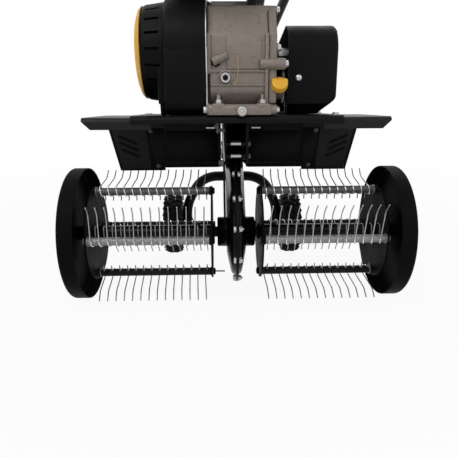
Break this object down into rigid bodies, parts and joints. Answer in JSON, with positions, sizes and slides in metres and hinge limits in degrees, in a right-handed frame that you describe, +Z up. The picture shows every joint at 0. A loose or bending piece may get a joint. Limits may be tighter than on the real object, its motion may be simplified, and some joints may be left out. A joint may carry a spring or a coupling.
{
  "type": "walk-behind spring-tine lawn aerator",
  "caption": "Walk-behind engine-driven lawn aerator: twin reels of bent spring tines on a central chain case, side dishes, a hood, transport wheels and handlebars.",
  "frame": {"origin": "on the floor, at the middle of the machine's box", "axes": "+X to the machine's right in the picture, -Y its front, +Z up"},
  "size_m": [0.617, 1.0292, 0.9541],
  "materials": {
    "black_paint": "satin",
    "black_plastic": "matt",
    "rubber": "matt",
    "bright_steel": "bright",
    "zinc_steel": "zinc plated",
    "cast_aluminium": "as cast",
    "yellow_plastic": "satin"
  },
  "bodies": {
    "body": {"case_left_half": "black_paint", "case_right_half": "black_paint", "left_axle_bearing": "bright_steel", "right_axle_bearing": "bright_steel", "drive_chain": "zinc_steel", "case_bolt_1": "bright_steel", "case_bolt_2": "bright_steel", "case_bolt_3": "bright_steel", "deck": "black_paint", "left_fender": "black_paint", "right_fender": "black_paint", "frame_plates": "black_paint", "upper_cross_bolt": "bright_steel", "lower_cross_bolt": "bright_steel", "yoke_pin": "bright_steel", "handle_bolt": "bright_steel", "crankcase": "cast_aluminium", "side_cover": "cast_aluminium", "cylinder": "cast_aluminium", "fan_shroud": "black_plastic", "recoil_cover": "black_plastic", "drive_belt": "rubber", "belt_guard": "black_plastic", "fuel_tank": "black_paint", "air_cleaner": "black_plastic", "silencer": "black_paint"},
    "reel": {"left_tine_row_1": "bright_steel", "left_tine_row_2": "bright_steel", "left_tine_row_3": "bright_steel", "left_tine_row_4": "bright_steel", "right_tine_row_1": "bright_steel", "right_tine_row_2": "bright_steel", "right_tine_row_3": "bright_steel", "right_tine_row_4": "bright_steel", "left_reel_frame": "black_paint", "left_dish": "black_paint", "left_hub_pin": "bright_steel", "right_reel_frame": "black_paint", "right_dish": "black_paint", "right_hub_pin": "bright_steel", "reel_axle": "bright_steel", "axle_sprocket": "zinc_steel"},
    "input": {"input_shaft": "bright_steel", "input_sprocket": "zinc_steel", "driven_pulley": "zinc_steel"},
    "crank": {"crankshaft": "bright_steel", "flywheel": "cast_aluminium", "drive_pulley": "zinc_steel"},
    "yoke": {"wheel_yoke": "black_paint"},
    "left_wheel": {"left_tyre": "rubber", "left_rim": "black_plastic"},
    "right_wheel": {"right_tyre": "rubber", "right_rim": "black_plastic"},
    "handle": {"handlebar": "black_paint", "left_grip": "rubber", "right_grip": "rubber"},
    "clutch": {"clutch_lever": "bright_steel"},
    "throttle": {"throttle_lever": "bright_steel"},
    "dipstick_cap": {"dipstick": "yellow_plastic"},
    "tank_cap": {"fuel_cap": "black_plastic"}
  },
  "joints": [
    {"name": "reel_spin", "type": "hinge", "parent": "body", "child": "reel", "pos_m": [0, -0.38958, 0.125], "axis": [1, 0, 0], "continuous": true},
    {"name": "input_spin", "type": "hinge", "parent": "body", "child": "input", "pos_m": [0, -0.13958, 0.404], "axis": [1, 0, 0], "continuous": true},
    {"name": "crank_spin", "type": "hinge", "parent": "body", "child": "crank", "pos_m": [0, -0.37558, 0.4533], "axis": [1, 0, 0], "continuous": true},
    {"name": "yoke_fold", "type": "hinge", "parent": "body", "child": "yoke", "pos_m": [0, -0.09358, 0.253], "axis": [1, 0, 0], "range_deg": [0, 80]},
    {"name": "left_wheel_spin", "type": "hinge", "parent": "yoke", "child": "left_wheel", "pos_m": [-0.146, -0.11958, 0.0745], "axis": [1, 0, 0], "continuous": true},
    {"name": "right_wheel_spin", "type": "hinge", "parent": "yoke", "child": "right_wheel", "pos_m": [0.146, -0.11958, 0.0745], "axis": [1, 0, 0], "continuous": true},
    {"name": "handle_tilt", "type": "hinge", "parent": "body", "child": "handle", "pos_m": [0, -0.06958, 0.425], "axis": [1, 0, 0], "range_deg": [0, 25]},
    {"name": "clutch_squeeze", "type": "hinge", "parent": "handle", "child": "clutch", "pos_m": [-0.27, 0.36442, 0.86413], "axis": [1, 0, 0], "range_deg": [0, 20], "stiffness_Nm_per_rad": 2, "springref_deg": -5.73},
    {"name": "throttle_turn", "type": "hinge", "parent": "handle", "child": "throttle", "pos_m": [0.27, 0.36442, 0.91213], "axis": [1, 0, 0], "range_deg": [0, 50]},
    {"name": "dipstick_turn", "type": "hinge", "parent": "body", "child": "dipstick_cap", "pos_m": [0.071, -0.45008, 0.3945], "axis": [0, -0.866, 0.5], "range_deg": [0, 360]},
    {"name": "fuel_cap_turn", "type": "hinge", "parent": "body", "child": "tank_cap", "pos_m": [-0.03, -0.40958, 0.6596], "axis": [0, 0, 1], "range_deg": [0, 90]}
  ],
  "couplings": [
    {"joint": "input_spin", "follows": "reel_spin", "ratio": 2.75},
    {"joint": "crank_spin", "follows": "reel_spin", "ratio": 3.5648}
  ]
}
